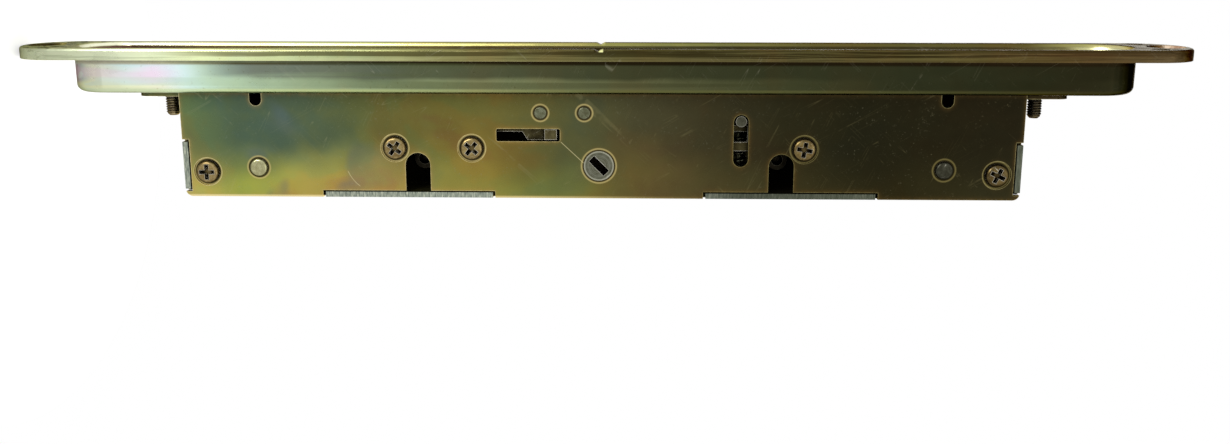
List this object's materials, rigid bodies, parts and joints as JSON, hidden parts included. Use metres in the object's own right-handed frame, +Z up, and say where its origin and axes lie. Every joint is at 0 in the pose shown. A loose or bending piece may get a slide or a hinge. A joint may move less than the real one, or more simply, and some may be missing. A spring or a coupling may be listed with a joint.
{
  "type": "sliding door mortise lock",
  "caption": "Hook mortise lock for a sliding patio door: dished round-ended faceplate, slim sheet-metal case, hooks that swing out, hub for a handle and a sprung anti-slam button.",
  "frame": {"origin": "midway between the two end screws, on the back of the flange, which rests on the door's edge", "axes": "+Z up along the faceplate; -Y out of the faceplate, towards the door frame; +X towards the case's cover plate"},
  "size_m": [0.0254, 0.0415, 0.3206],
  "materials": {
    "faceplate_zinc": "yellow chromate over die-cast zinc",
    "plate_zinc": "smooth yellow-chromated sheet steel",
    "case_zinc": "yellow-chromated sheet steel",
    "screw_zinc": "yellow-chromated steel",
    "bare_steel": "bright zinc-plated steel",
    "hook_steel": "blanked steel laminations",
    "paper": "cream paper label"
  },
  "bodies": {
    "lock_case": {"faceplate_tray": "faceplate_zinc", "inner_plate": "plate_zinc", "inner_plate_screws": "screw_zinc", "tray_screws": "screw_zinc", "label": "paper", "case_body": "case_zinc", "case_cover": "case_zinc", "cover_screws": "screw_zinc", "cover_posts": "bare_steel", "handle_nuts": "bare_steel", "lever_post": "bare_steel", "stop_post": "bare_steel", "detent_spring": "bare_steel", "detent_studs": "bare_steel", "pivot_washers": "bare_steel", "plunger_bracket": "case_zinc", "plunger_spring": "bare_steel", "upper_pivot_pin": "bare_steel", "lower_pivot_pin": "bare_steel"},
    "hub": {"drive_hub": "bare_steel", "hub_drive_pins": "bare_steel"},
    "lower_bar_body": {"lower_bar": "case_zinc"},
    "upper_bar_body": {"upper_bar": "case_zinc"},
    "lower_hook": {"lower_hook_plates": "hook_steel", "lower_hook_rivets": "bare_steel", "lower_drive_pin": "bare_steel"},
    "upper_hook": {"upper_hook_plates": "hook_steel", "upper_hook_rivets": "bare_steel", "upper_drive_pin": "bare_steel"},
    "plunger_body": {"plunger": "bare_steel", "plunger_pin": "bare_steel"},
    "lever": {"blocker_lever": "case_zinc"}
  },
  "joints": [
    {"name": "upper_bar_slide", "type": "slide", "parent": "lock_case", "child": "upper_bar_body", "axis": [0, 0, 1], "range_m": [0, 0.00845]},
    {"name": "lower_bar_slide", "type": "slide", "parent": "lock_case", "child": "lower_bar_body", "axis": [0, 0, -1], "range_m": [0, 0.00845]},
    {"name": "hub_turn", "type": "hinge", "parent": "lock_case", "child": "hub", "pos_m": [0, 0.0292, 0], "axis": [1, 0, 0], "range_deg": [0, 90.01]},
    {"name": "lower_hook_swing", "type": "hinge", "parent": "lock_case", "child": "lower_hook", "pos_m": [0, 0.03, -0.0943], "axis": [1, 0, 0], "range_deg": [0, 50.01]},
    {"name": "upper_hook_swing", "type": "hinge", "parent": "lock_case", "child": "upper_hook", "pos_m": [0, 0.03, 0.0943], "axis": [-1, 0, 0], "range_deg": [0, 50.01]},
    {"name": "plunger_press", "type": "slide", "parent": "lock_case", "child": "plunger_body", "axis": [0, 1, 0], "range_m": [0, 0.0035], "stiffness_N_per_m": 900, "springref_m": -0.003, "deforming": ["plunger_spring"]},
    {"name": "lever_swing", "type": "hinge", "parent": "lock_case", "child": "lever", "pos_m": [0, 0.01455, -0.004], "axis": [-1, 0, 0], "range_deg": [0, 4.8]}
  ],
  "couplings": [
    {"joint": "lower_bar_slide", "follows": "upper_bar_slide", "ratio": 1},
    {"joint": "hub_turn", "follows": "upper_bar_slide", "rad_per_m": 185.84},
    {"joint": "lower_hook_swing", "follows": "upper_bar_slide", "rad_per_m": 103.25},
    {"joint": "upper_hook_swing", "follows": "upper_bar_slide", "rad_per_m": 103.25},
    {"joint": "lever_swing", "follows": "plunger_press", "rad_per_m": 23.364}
  ]
}
